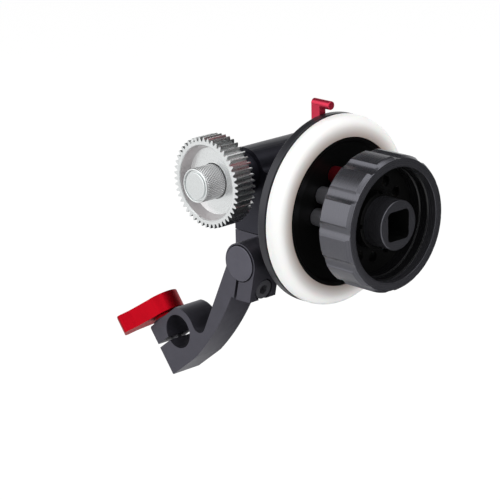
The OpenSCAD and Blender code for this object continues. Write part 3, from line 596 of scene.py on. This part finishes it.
class FOLLOW_OT_swing_arm(bpy.types.Operator):
    """Swing arm with the rod clamp, its splits and the lug of the friction screw"""

    bl_idname = "follow.swing_arm"
    bl_label = "Swing arm"

    def execute(self, context):
        arm = make("swing_arm_body", slab([arm_outline()], UPRIGHT, -ARM_HALF, ARM_HALF))
        lug = shifted(PIVOT[0], 0, PIVOT[1]) @ turned(-SPLIT, "Y") @ shifted(LUG_SCREW, 0, 0)
        stud = on_clamp_screw()
        # bolt head and bolt, friction screw with its seat, clamp screw through the jaw and in its thread
        cut(arm, drill(beside_rod(*PIVOT), 96, -20, (8.1, -5.4), (5.05, 20)),
            drill(lug, 64, -8, (THREAD_HOLE, 3.5), (4.85, 12)),
            drill(stud, 48, 0, (2.75, 12)), drill(stud, 48, -12.1, (THREAD_HOLE, -0.5)))
        soften(arm, context.scene.follow_focus.edge_break)
        dress(arm, "arm", finish("arm"), ["swing_arm"])
        return {"FINISHED"}


class FOLLOW_OT_clamp_lever(bpy.types.Operator):
    """Clamp lever with its round hub and single wing"""

    bl_idname = "follow.clamp_lever"
    bl_label = "Clamp lever"

    def execute(self, context):
        stud = on_clamp_screw()
        wing = stud @ turned(LEVER_ANGLE, "Z")
        lever = make("clamp_lever_body", slab([lever_outline()], wing, LEVER_LOW, LEVER_TOP))
        cut(lever, drill(stud, 64, 5, (THREAD_HOLE, 15), (4.5, 25)))
        soften(lever, 0.8 * MM, 4)
        base = make("clamp_lever_foot", shell(
            [(THREAD_HOLE, 10.4, 0), (5, 10.4, 0.2), (5, 11.6, 0), (THREAD_HOLE, 11.6, 0)], stud, 64))
        dress(lever, "lever", finish("red"), ["clamp_lever"])
        dress(base, "lever", finish("red"), [])
        return {"FINISHED"}


class FOLLOW_OT_pivot(bpy.types.Operator):
    """Pivot bolt and the bracket under the gearbox"""

    bl_idname = "follow.pivot"
    bl_label = "Pivot"

    def execute(self, context):
        bolt = make("pivot_bolt_head", shell(
            [(0, -8.1, 0), (7.65, -8.1, 0.3), (7.65, -5.5, 0.2), (5, -5.5, 0), (5, 8.5, 0), (3, 8.5, 0),
             (3, 38, 0.3), (0, 38, 0)], beside_rod(*PIVOT), 128))
        dress(bolt, "gearbox", finish("bolt"), ["pivot_bolt"])
        top = BOX_LOW - 0.3
        # where the foot's underside runs into the knuckle
        across, down = COLLAR_R * 0.4, COLLAR_R * 0.917
        foot = make("pivot_bracket_foot", slab([[
            (BOX_LEFT, top), (BOX_LEFT, top - 7), (PIVOT[0] - across, PIVOT[1] - down),
            *arc(PIVOT, COLLAR_R, 247, 293, 12), (PIVOT[0] + across, PIVOT[1] - down),
            (BOX_RIGHT, PIVOT[1] - 2), (BOX_RIGHT, top)]], UPRIGHT, -42, -BOX_FRONT))
        cut(foot, drill(beside_rod(*PIVOT), 64, 10, (BOLT_HOLE, 38.2)),
            *(drill(shifted(BOX_LEFT + x, BOX_FRONT + y, 0), 48, 20, (3, 39.3), (1.52, 50))
              for x in (4, 15.5) for y in (5, 19)))
        soften(foot, context.scene.follow_focus.edge_break)
        dress(foot, "gearbox", finish("arm"), ["pivot_bracket"])
        knuckle = make("pivot_bracket_knuckle", shell(
            [(BOLT_HOLE, 8.5, 0), (COLLAR_R, 8.5, 0.3), (COLLAR_R, 17.95, 0.1), (BOLT_HOLE, 17.95, 0)],
            beside_rod(*PIVOT), 128))
        # painted shade: the knuckle is one part with the foot, but takes a near-black copy of its finish
        dress(knuckle, "gearbox", finish("shaded knuckle"), ["pivot_bracket"])
        return {"FINISHED"}


class FOLLOW_OT_gearbox(bpy.types.Operator):
    """Gearbox housing with its barrel, boss and neck, and the rear cover"""

    bl_idname = "follow.gearbox"
    bl_label = "Gearbox"

    def execute(self, context):
        edge = context.scene.follow_focus.edge_break
        outline = box_outline()
        box = make("gearbox_housing_block", slab([outline], UPRIGHT, -BOX_BACK, -BOX_FRONT))
        room = slab([[(13.7, 46.7), (42.7, 46.7), (42.7, 68), (13.7, 68)]], UPRIGHT, -55, -21)
        pockets = [drill(beside_rod(x, z), 72, 39.6, (9.5, 55)) for x, z in (GEAR, (LAY_X, WHEEL[1]))]
        cut(box, room, *pockets, drill(beside_rod(*GEAR), 48, 10, (5, 45)),
            drill(on_wheel(), 64, 42, (BUSH_HOLE, 50)))
        soften(box, edge)
        boss = make("gearbox_housing_boss", shell(
            [(BUSH_HOLE, 6.2, 0), (9, 6.2, 0.3), (9, 18, 0), (BUSH_HOLE, 18, 0)], beside_rod(*GEAR), 128))
        neck = make("gearbox_housing_neck", shell(
            [(BUSH_HOLE, 46.1, 0), (16, 46.1, 0), (16, PLATE_X - 0.1, 0.3), (12, PLATE_X - 0.1, 0),
             (12, 57.6, 0.2), (BUSH_HOLE, 57.6, 0)], on_wheel(), 128))
        for piece in (box, boss, neck):
            dress(piece, "gearbox", finish("housing"), ["gearbox_housing"])
        cover = make("gearbox_rear_cover", slab([outline], UPRIGHT, -BOX_BACK - 3, -BOX_BACK - 0.02))
        spots = ((12.3, 46.2), (12.3, 53.2), (44.6, 46.2), (44.6, 65.5), (38.5, 69.9))
        cut(cover, *(drill(beside_rod(x, z), 40, 47, (1.02, 49.4), (1.95, 53)) for x, z in spots))
        soften(cover, edge)
        dress(cover, "gearbox", finish("housing"), ["rear_cover"])
        return {"FINISHED"}


class FOLLOW_OT_drive_gear(bpy.types.Operator):
    """Drive gear with its recess, and the knurled thumb screw that holds it"""

    bl_idname = "follow.drive_gear"
    bl_label = "Drive gear"

    def execute(self, context):
        sizes = context.scene.follow_focus
        gear = make("drive_gear_body", slab(
            [tooth_ring(GEAR_MODULE, GEAR_TEETH, GEAR_SLACK), ring(SHAFT_HOLE, 64)],
            beside_rod(*GEAR), GEAR_FRONT, GEAR_BACK))
        # the recess narrows from its mouth at the lip to its root at the floor
        mouth, root, lip, floor = 16, 14.4, -4.6, -0.2
        cut(gear, shell([(0, -8, 0), (16.4, -8, 0), (16.4, -4.95, 0), (mouth, lip, 0), (root, floor, 0),
                         (7.75, floor, 0), (7.75, 2.8, 0), (0, 2.8, 0)], beside_rod(*GEAR), 144))
        soften(gear, 0.12 * MM, 1, 40)
        dress(gear, "drive", finish("gear"), ["drive_gear"])
        # the wall of the recess is left as the boring tool cut it, and is duller than the faces; its colour is
        # also painted darker, as shade in the recess
        gear.data.materials.append(finish("recess"))
        for face in gear.data.polygons:
            x, y, z = face.center / MM
            on_wall = root - 0.1 < math.hypot(x - GEAR[0], z - GEAR[1]) < mouth + 0.1
            if on_wall and lip - 0.05 < y < floor - 0.05:
                face.material_index = 1
        radius, front, back = 7.4, -11.1, 2.5
        land, waist = radius - 0.1, radius - 0.5
        screw = make("thumb_screw_body", shell(
            [(0, front, 0), (5.8, front, 0.3), (5.8, front + 0.8, 0.1), (6.6, front + 0.8, 0.1),
             (6.6, front, 0.2), (land, front, 0.4), (land, front + 0.7, 0.1), (waist, front + 0.8, 0.05),
             (waist, back - 0.5, 0), (radius - 0.2, back - 0.3, 0.1), (radius - 0.3, back, 0.1),
             (2, back, 0), (2, back + 8, 0), (0, back + 8, 0)], beside_rod(*GEAR), 128))
        dress(screw, "thumb", finish("thumb"), ["thumb_screw"], 50)
        grip = make("thumb_screw_knurl", self.knurl(sizes, radius, front + 0.8, back - 0.5))
        dress(grip, "thumb", finish("knurl"), ["thumb_screw"], 80)
        return {"FINISHED"}

    def knurl(self, sizes, radius, low, high):
        """A closed sleeve with a diamond knurl cut by two crossing sets of grooves."""
        bm = bmesh.new()
        count = round(2 * math.pi * radius * MM / sizes.knurl_pitch)
        turns, rows = count * 6, round((high - low) / 0.22)
        depth = sizes.knurl_depth / MM
        # how steeply the grooves wind, the flat share of each diamond, and the step down at both ends
        slant, crest, step = 0.6, 0.45, 0.4
        inside = radius - 1
        outer, inner = [], []
        groove = bm.verts.layers.float.new("groove")
        for i in range(turns):
            a = 2 * math.pi * i / turns
            line = []
            for k in range(rows + 1):
                h = low + (high - low) * k / rows
                twist = h * count / radius * slant
                cuts = [abs(((a * count + way * twist) / (2 * math.pi)) % 1 - 0.5) * 2 for way in (-1, 1)]
                sunk = max(0, max(cuts) - crest) / (1 - crest)
                r = radius - (step if k in (0, rows) else depth * sunk)
                line.append(bm.verts.new((r * math.cos(a) * MM, r * math.sin(a) * MM, h * MM)))
                # how far the point is sunk in a groove; the material paints the grooves darker from it, as shade
                line[-1][groove] = sunk
            outer.append(line)
            inner.append([bm.verts.new((inside * math.cos(a) * MM, inside * math.sin(a) * MM, h * MM))
                          for h in (low, high)])
        for i in range(turns):
            a, b, c, d = outer[i], outer[(i + 1) % turns], inner[i], inner[(i + 1) % turns]
            for k in range(rows):
                bm.faces.new((a[k], b[k], b[k + 1], a[k + 1]))
            bm.faces.new((c[0], d[0], b[0], a[0]))
            bm.faces.new((a[-1], b[-1], d[1], c[1]))
            bm.faces.new((c[1], d[1], d[0], c[0]))
        bmesh.ops.recalc_face_normals(bm, faces=bm.faces)
        bm.transform(beside_rod(*GEAR))
        return bm


class FOLLOW_OT_index(bpy.types.Operator):
    """Index plate with the red pointer over the marking disc"""

    bl_idname = "follow.index"
    bl_label = "Index plate and pointer"

    def execute(self, context):
        plate = make("index_plate_body", shell(
            [(12.05, PLATE_X, 0), (DISC_R, PLATE_X, 0.45), (DISC_R, PLATE_X + PLATE_T, 0.45),
             (16.2, PLATE_X + PLATE_T, 0.2), (16.2, PLATE_X + 1.8, 0), (12.05, PLATE_X + 1.8, 0)],
            on_wheel(), 216))
        spot = on_wheel(POINTER_Y, POINTER_SCREW_Z)
        cut(plate, drill(spot, 48, 50, (POINTER_HOLE, 57.7), (2.4, 64)))
        dress(plate, "index", finish("plate"), ["index_plate"])
        back, bottom = PLATE_X - 4.8, POINTER_TOP - 14
        post = make("index_pointer_post", slab(
            [[(back, bottom), (PLATE_X, bottom), (PLATE_X, POINTER_TOP), (back, POINTER_TOP)]],
            UPRIGHT, -28.3, -24.7))
        cut(post, drill(spot, 40, 52, (POINTER_HOLE, 60)))
        soften(post, 0.25 * MM)
        pin = make("index_pointer_pin", shell(
            [(0, 50.9, 0), (1.845, 50.9, 0.2), (1.845, 60.9, 0.45), (0, 60.9, 0)],
            on_wheel(POINTER_Y, POINTER_TOP), 72))
        # painted light: the pointer takes a lighter copy of the red anodise
        for piece in (post, pin):
            dress(piece, "index", finish("lit red"), ["index_pointer"])
        return {"FINISHED"}


class FOLLOW_OT_disc(bpy.types.Operator):
    """White marking disc and the black dish that carries it"""

    bl_idname = "follow.disc"
    bl_label = "Marking disc and dish"

    def execute(self, context):
        front, edge = DISC_X + 6.5, 5
        seat = DISC_R - edge
        curve = [(seat + edge * math.cos(a), front - edge + edge * math.sin(a), 0) for a in (
            math.radians(90 * i / 16) for i in range(17))]
        disc = make("marking_disc_body", shell(
            [(31.6, DISC_X + 1.6, 0), (seat, DISC_X + 1.6, 0), (seat, DISC_X, 0), (39.9, DISC_X, 0.3),
             (DISC_R, DISC_X + 0.6, 0.2), *curve, (31.6, front, 0.35)], on_wheel(), 256))
        dress(disc, "wheel", finish("white"), ["marking_disc"])
        dish = make("dish_body", shell(
            [(SHAFT_HOLE, 57.7, 0), (6, 57.7, 0), (6, DISC_X, 0), (35.3, DISC_X, 0), (35.3, DISC_X + 1.5, 0),
             (31.5, DISC_X + 1.5, 0), (31.5, front - 0.3, 0.4), (30.1, front - 0.3, 0.25),
             (29.2, DISH_X + 0.6, 0.6), (25.5, DISH_X, 0.6), (11.4, DISH_X, 0), (11.2, DISH_X + 0.5, 0.3),
             (11.2, WEB_X - 0.1, 0.2), (SHAFT_HOLE, WEB_X - 0.1, 0)], on_wheel(), 216))
        # painted shade: the dish takes the near-black finish
        dress(dish, "wheel", finish("dish"), ["hub_flange"])
        return {"FINISHED"}


class FOLLOW_OT_posts(bpy.types.Operator):
    """Round posts that stand in the dish"""

    bl_idname = "follow.posts"
    bl_label = "Posts in the dish"

    def execute(self, context):
        profile = [(0, -2.3, 0), (1.5, -2.3, 0), (1.5, 0, 0), (3.4, 0, 0.2), (3.7, 0.3, 0.2), (3.7, 7.4, 0.5),
                   (3.1, 8, 0.3), (1.9, 8, 0.15), (1.7, 7.8, 0.1), (0, 7.8, 0)]
        base = on_wheel() @ shifted(0, 0, DISH_X)
        for name, radius, angle, look, slot, node in (
                # painted shade: the stop posts take a grey copy of the silver anodise
                ("stop_post_low", 15.2, 177, "post", "silver_anodised", "stop_posts"),
                ("stop_post_high", 15.2, 142, "post", "silver_anodised", "stop_posts"),
                # painted shade: the release post takes a darker copy of the red anodise
                ("release_post_body", 17.2, 105, "shaded red", "red_anodised", "release_post")):
            post = make(name, shell(profile, base @ wheel_spot(radius, angle), 72))
            dress(post, "wheel", finish(look), [node])
        return {"FINISHED"}


class FOLLOW_OT_handwheel(bpy.types.Operator):
    """Fluted handwheel with its pierced web, nut and square drive sleeve"""

    bl_idname = "follow.handwheel"
    bl_label = "Handwheel"

    def execute(self, context):
        sizes = context.scene.follow_focus
        rim, bore, length, flute = 28.75, 24.1, 17.0, 4.3
        centre = rim - sizes.flute_depth / MM + flute
        pitch = 2 * math.pi / sizes.flute_count
        # the first flute's middle is 26 degrees from +Y towards +Z
        first = math.radians(26 + 90)

        def limit(angle):
            """How far out the grip may reach at an angle: to its flute, or anywhere between two."""
            off = (angle - first + pitch / 2) % pitch - pitch / 2
            inside = flute ** 2 - (centre * math.sin(off)) ** 2
            return centre * math.cos(off) - math.sqrt(inside) if inside > 0 else NO_LIMIT

        body = shell(
            [(22.9, 0.5, 0), (rim - 1, 0, 0.3), (rim, 0.9, 0.4), (rim, length - 2, 0.4),
             (rim - 1.2, length, 0.35), (bore, length, 0.3), (bore, length - 4, 0.1),
             (bore - 0.6, length - 4.3, 0.1), (bore - 0.6, length - 8, 0.1), (bore - 1.2, length - 8.3, 0.1),
             (bore - 1.2, 3.5, 0), (22.5, 3.3, 0)], on_wheel() @ shifted(0, 0, WEB_X), 1080, limit)
        hole, circle = 2.3, 16.5
        holes = [ring(hole, 40, (circle * math.cos(a), circle * math.sin(a))) for a in (
            math.radians(91 + 30 * k) for k in range(12))]
        web = make("handwheel_web", slab(
            [ring(23.1, 144), ring(SLEEVE_HOLE, 96), *holes], on_wheel(), WEB_X, WEB_X + 3.5))
        soften(web, 0.2 * MM)
        grip = make("handwheel_rim", body)
        # painted shade: the web takes the near-black dish finish
        for piece, look in ((grip, "wheel"), (web, "dish")):
            dress(piece, "wheel", finish(look), ["handwheel"], 24)
        # painted shade: the grip's inside takes the darker bore finish
        self.shade_inside(grip, bore - 0.02, NO_LIMIT, "bore")
        nut = make("wheel_nut_body", shell(
            [(SLEEVE_HOLE, 81.8, 0), (12.2, 81.8, 0.1), (12.2, 86.5, 0.5), (SLEEVE_HOLE, 86.5, 0.1)],
            on_wheel(), 128))
        cut(nut, *(slab([[(11.3, -1), (15, -1), (15, 1), (11.3, 1)]], on_wheel() @ turned(90 * k, "Z"), 84.5, 90)
                   for k in range(4)))
        # painted shade: the nut takes the near-black dish finish
        dress(nut, "wheel", finish("dish"), ["wheel_nut"])
        sleeve = make("drive_sleeve_body", shell(
            [(0, WEB_X, 0), (SLEEVE_R, WEB_X, 0), (SLEEVE_R, SLEEVE_FRONT, 0.6), (0, SLEEVE_FRONT, 0)],
            on_wheel(), 128))
        # the square socket, with its corners rounded, and the stepped hole behind it
        half, corner = 6.25, 2
        square = [p for k, (x, y) in enumerate(((1, 1), (-1, 1), (-1, -1), (1, -1)))
                  for p in arc((x * (half - corner), y * (half - corner)), corner, 90 * k, 90 * k + 90, 8)]
        cut(sleeve, slab([square], on_wheel(), 83.2, 99),
            drill(on_wheel(), 48, 70, (SHAFT_HOLE, 81.8), (2.02, 90)))
        soften(sleeve, 0.3 * MM)
        dress(sleeve, "wheel", finish("wheel"), ["drive_sleeve"])
        # painted shade: the sleeve's bore takes the near-black dish finish
        self.shade_inside(sleeve, 9.4, 95.8, "dish")
        return {"FINISHED"}

    def shade_inside(self, piece, radius, depth, look):
        """Gives the inside of a bore a darker finish: painted shade inside the handwheel."""
        piece.data.materials.append(finish(look))
        for face in piece.data.polygons:
            x, y, z = face.center
            if math.hypot(y - WHEEL[0] * MM, z - WHEEL[1] * MM) < radius * MM and x < depth * MM:
                face.material_index = 1


class FOLLOW_OT_hardware(bpy.types.Operator):
    """Finishes of the screws, shafts, bushes and inner gears that keep their own solids"""

    bl_idname = "follow.hardware"
    bl_label = "Hardware"

    def execute(self, context):
        looks = {"black_steel": "black_steel", "steel": "steel", "bronze": "bronze",
                 "black_anodised": "housing", "grey_anodised": "arm", "silver_anodised": "gear",
                 "red_anodised": "red", "white_plastic": "white"}
        slots = {row["node"]: row["material_slot"] for row in frame["record"]["subparts"]}
        for name, node in frame["nodes"].items():
            node.data.materials.clear()
            node.data.materials.append(finish(looks[slots[name]]))
            if name in ("clamp_screw", "friction_screw", "sleeve_screw", "clamp_washer"):
                bevel(node, 0.12 * MM, 2, 40)
        return {"FINISHED"}


class FOLLOW_OT_studio(bpy.types.Operator):
    """Plain pale studio: floor, soft lamps, world and camera"""

    bl_idname = "follow.studio"
    bl_label = "Studio"

    def execute(self, context):
        scene = context.scene
        scene.view_settings.view_transform = "Standard"
        self.camera(scene)
        self.world(scene)
        self.floor()
        self.flags()
        self.lamp("key_softbox", (-0.35, -1.0, 0.45), 1.4, 6.0)
        self.lamp("side_softbox", (1.0, -0.05, 0.5), 1.3, 9.0)
        self.lamp("top_softbox", (0.05, 0.1, 1.0), 1.0, 3.0)
        return {"FINISHED"}

    def camera(self, scene):
        """The view that was solved from the photograph."""
        lens = bpy.data.cameras.new("camera")
        lens.lens, lens.sensor_width = 158.4, 36.0
        lens.clip_start, lens.clip_end = 0.02, 20
        view = bpy.data.objects.new("camera", lens)
        right, up = Vector((0.6957, 0.7181, -0.0198)), Vector((-0.2000, 0.2201, 0.9548))
        right.normalize()
        up = (up - right * up.dot(right)).normalized()
        turn = Matrix((right, up, right.cross(up))).transposed().to_4x4()
        view.matrix_world = Matrix.Translation((0.6731, -0.6074, 0.3163)) @ turn
        scene.collection.objects.link(view)
        scene.camera = view

    def world(self, scene):
        """White to the camera and in reflections, and a dimmer even light on the unit."""
        world = bpy.data.worlds.new("studio")
        world.use_nodes = True
        tree = world.node_tree
        tree.nodes.clear()
        ray = add(tree, "ShaderNodeLightPath")
        seen = add(tree, "ShaderNodeMath", {0: ray.outputs["Is Camera Ray"], 1: ray.outputs["Is Glossy Ray"]},
                   operation="MAXIMUM").outputs[0]
        seen = add(tree, "ShaderNodeMath", {0: seen, 1: ray.outputs["Is Transmission Ray"]},
                   operation="MAXIMUM").outputs[0]
        strength = add(tree, "ShaderNodeMapRange", {"Value": seen, "To Min": 0.42, "To Max": 1.0})
        light = add(tree, "ShaderNodeBackground", {"Color": (1, 1, 1, 1), "Strength": strength.outputs["Result"]})
        add(tree, "ShaderNodeOutputWorld", {"Surface": light.outputs[0]})
        scene.world = world

    def floor(self):
        """A pale sweep under the unit."""
        bm = bmesh.new()
        bmesh.ops.create_grid(bm, x_segments=1, y_segments=1, size=3.0)
        bm.transform(Matrix.Translation((0, 0, -0.075)))
        sweep = make("studio_floor", bm)
        material, tree = start_material("studio_paper")
        ray = add(tree, "ShaderNodeLightPath").outputs["Is Camera Ray"]
        paper = add(tree, "ShaderNodeBsdfDiffuse", {"Color": linear("#f4f4f4")}).outputs[0]
        white = add(tree, "ShaderNodeEmission", {"Color": (1, 1, 1, 1), "Strength": 1.08}).outputs[0]
        share = add(tree, "ShaderNodeMapRange", {"Value": ray, "To Min": 0.0, "To Max": 0.85})
        mixed = add(tree, "ShaderNodeMixShader", {0: share.outputs["Result"], 1: paper, 2: white}).outputs[0]
        add(tree, "ShaderNodeOutputMaterial", {"Surface": mixed})
        sweep.data.materials.append(material)

    def flags(self):
        """Dark cards around the unit, seen only in its reflections, that give its edges their contrast."""
        cloth, tree = start_material("studio_black_cloth")
        black = add(tree, "ShaderNodeBsdfDiffuse", {"Color": linear("#1c1c1c")}).outputs[0]
        add(tree, "ShaderNodeOutputMaterial", {"Surface": black})
        for name, spot, turn, tip, size in (("beside", (0.33, 0.24, 0.2), 36, 90, (0.54, 1.2)),
                                            ("behind", (-0.16, 0.34, 0.59), 124, 70, (0.6, 0.7)),
                                            ("under", (0.06, 0.315, -0.072), 0, 0, (0.5, 0.5)),
                                            ("over", (-0.22, 0.06, 0.47), 180, 45, (0.3, 0.36))):
            bm = bmesh.new()
            bmesh.ops.create_grid(bm, x_segments=2, y_segments=2, size=0.5)
            bm.transform(Matrix.Translation(spot) @ turned(turn, "Z") @ turned(tip, "Y")
                         @ Matrix.Diagonal((*size, 1.0, 1.0)))
            flag = make("studio_flag_" + name, bm)
            flag.data.materials.append(cloth)
            for ray in ("camera", "diffuse", "shadow", "transmission"):
                setattr(flag, "visible_" + ray, False)

    def lamp(self, name, way, size, power):
        """A square soft lamp that points at the middle of the unit, in metres."""
        middle, distance = Vector((0.04, 0.02, 0.045)), 1.1
        data = bpy.data.lights.new(name, "AREA")
        data.shape, data.size, data.energy = "SQUARE", size, power
        lamp = bpy.data.objects.new(name, data)
        way = Vector(way).normalized()
        lamp.location = middle + way * distance
        lamp.rotation_mode = "QUATERNION"
        lamp.rotation_quaternion = way.to_track_quat("Z", "Y")
        bpy.context.scene.collection.objects.link(lamp)


class FOLLOW_PT_panel(bpy.types.Panel):
    """Sizes, colours and pieces of the follow focus"""

    bl_idname = "FOLLOW_PT_panel"
    bl_label = "Follow focus"
    bl_space_type = "VIEW_3D"
    bl_region_type = "UI"
    bl_category = "Follow focus"

    def draw(self, context):
        for group in (context.scene.follow_focus, context.scene.follow_focus_colours):
            box = self.layout.box()
            for key in group.bl_rna.properties.keys():
                if key not in ("rna_type", "name"):
                    box.prop(group, key)
        for step in STEPS:
            self.layout.operator(step.bl_idname)


STEPS = (FOLLOW_OT_swing_arm, FOLLOW_OT_clamp_lever, FOLLOW_OT_pivot, FOLLOW_OT_gearbox,
         FOLLOW_OT_drive_gear, FOLLOW_OT_index, FOLLOW_OT_disc, FOLLOW_OT_posts, FOLLOW_OT_handwheel,
         FOLLOW_OT_hardware, FOLLOW_OT_studio)
CLASSES = (FollowFocusSizes, FollowFocusColours, *STEPS, FOLLOW_PT_panel)


def register():
    for cls in CLASSES:
        bpy.utils.register_class(cls)
    bpy.types.Scene.follow_focus = PointerProperty(type=FollowFocusSizes)
    bpy.types.Scene.follow_focus_colours = PointerProperty(type=FollowFocusColours)


def unregister():
    del bpy.types.Scene.follow_focus_colours
    del bpy.types.Scene.follow_focus
    for cls in reversed(CLASSES):
        bpy.utils.unregister_class(cls)


def main():
    register()
    for step in STEPS:
        group, name = step.bl_idname.split(".")
        getattr(getattr(bpy.ops, group), name)()


if __name__ == "__main__":
    main()
